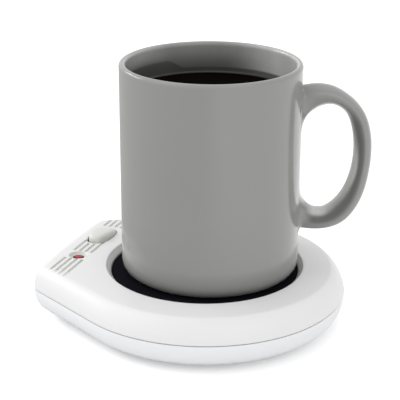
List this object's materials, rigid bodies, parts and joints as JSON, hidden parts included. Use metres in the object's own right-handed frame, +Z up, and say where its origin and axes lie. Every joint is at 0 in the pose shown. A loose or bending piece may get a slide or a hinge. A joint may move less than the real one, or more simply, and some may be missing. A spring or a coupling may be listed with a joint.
{
  "type": "mug warmer with mug",
  "caption": "Straight-sided ceramic mug with a loop handle, standing on a low electric warming base with a rocker switch and pilot lamp.",
  "frame": {"origin": "on the warming plate's axis, at the flat underside of the base", "axes": "+Z up along the plate's axis; -X towards the control panel; +Y towards the cord inlet at the back"},
  "size_m": [0.1448, 0.1325, 0.1218],
  "materials": {
    "glazed_grey": "grey glaze, glossy",
    "white_shell": "white moulded plastic, glossy",
    "white_cover": "white moulded plastic, glossy",
    "rocker_plastic": "warm white moulded plastic, satin",
    "dark_plate": "dark non-stick coating, satin",
    "red_lens": "clear red, glossy",
    "silicone_seal": "matte",
    "black_rubber": "matte",
    "foot_rubber": "matte",
    "mica_sheet": "pressed mica sheet, satin",
    "resistance_alloy": "rolled strip",
    "plain_steel": "pressed sheet",
    "zinc_screw": "zinc plated",
    "black_plastic": "moulded, satin",
    "brass_contact": "stamped",
    "glass_fibre": "woven glass sleeve",
    "lamp_glass": "clear",
    "resistor_body": "lacquered",
    "black_wire": "wire insulation",
    "white_wire": "wire insulation",
    "grey_wire": "wire insulation",
    "nylon": "natural nylon"
  },
  "bodies": {
    "base": {"top_housing": "white_shell", "base_cover": "white_cover", "cord_inlet_bush": "black_rubber", "housing_screw_1": "zinc_screw", "housing_screw_2": "zinc_screw", "housing_screw_3": "zinc_screw", "housing_screw_4": "zinc_screw", "rubber_foot_1": "foot_rubber", "rubber_foot_2": "foot_rubber", "rubber_foot_3": "foot_rubber", "rubber_foot_4": "foot_rubber", "hot_plate": "dark_plate", "plate_seal": "silicone_seal", "upper_mica_disc": "mica_sheet", "heating_element": "resistance_alloy", "lower_mica_disc": "mica_sheet", "clamp_plate": "plain_steel", "plate_nut_1": "zinc_screw", "plate_nut_2": "zinc_screw", "plate_nut_3": "zinc_screw", "thermal_fuse": "zinc_screw", "fuse_sleeve": "glass_fibre", "fuse_clip": "plain_steel", "rocker_pivot_pin": "plain_steel", "switch_body": "black_plastic", "common_terminal": "brass_contact", "line_terminal": "brass_contact", "lamp_lens": "red_lens", "lamp_holder": "black_plastic", "neon_lamp": "lamp_glass", "lamp_resistor": "resistor_body", "live_lead": "black_wire", "switched_lead": "black_wire", "fused_lead": "white_wire", "neutral_lead": "white_wire", "heater_return_lead": "white_wire", "lamp_resistor_lead": "grey_wire", "lamp_switch_lead": "grey_wire", "lamp_return_lead": "grey_wire", "neutral_splice": "nylon"},
    "mug": {"mug": "glazed_grey"},
    "rocker": {"rocker_button": "rocker_plastic", "switch_plunger": "nylon", "plunger_spring": "plain_steel"},
    "contact": {"contact_arm": "brass_contact"}
  },
  "joints": [
    {"name": "mug_lift", "type": "slide", "parent": "base", "child": "mug", "axis": [0, 0, 1], "range_m": [0, 0.12]},
    {"name": "rocker_tilt", "type": "hinge", "parent": "base", "child": "rocker", "pos_m": [-0.0585, 0.0118, 0.0185], "axis": [1, 0, 0], "range_deg": [0, 14]},
    {"name": "contact_tilt", "type": "hinge", "parent": "base", "child": "contact", "pos_m": [-0.0585, 0.0118, 0.0114], "axis": [1, 0, 0], "range_deg": [-14, 0]}
  ],
  "couplings": [
    {"joint": "contact_tilt", "follows": "rocker_tilt", "ratio": -1}
  ]
}
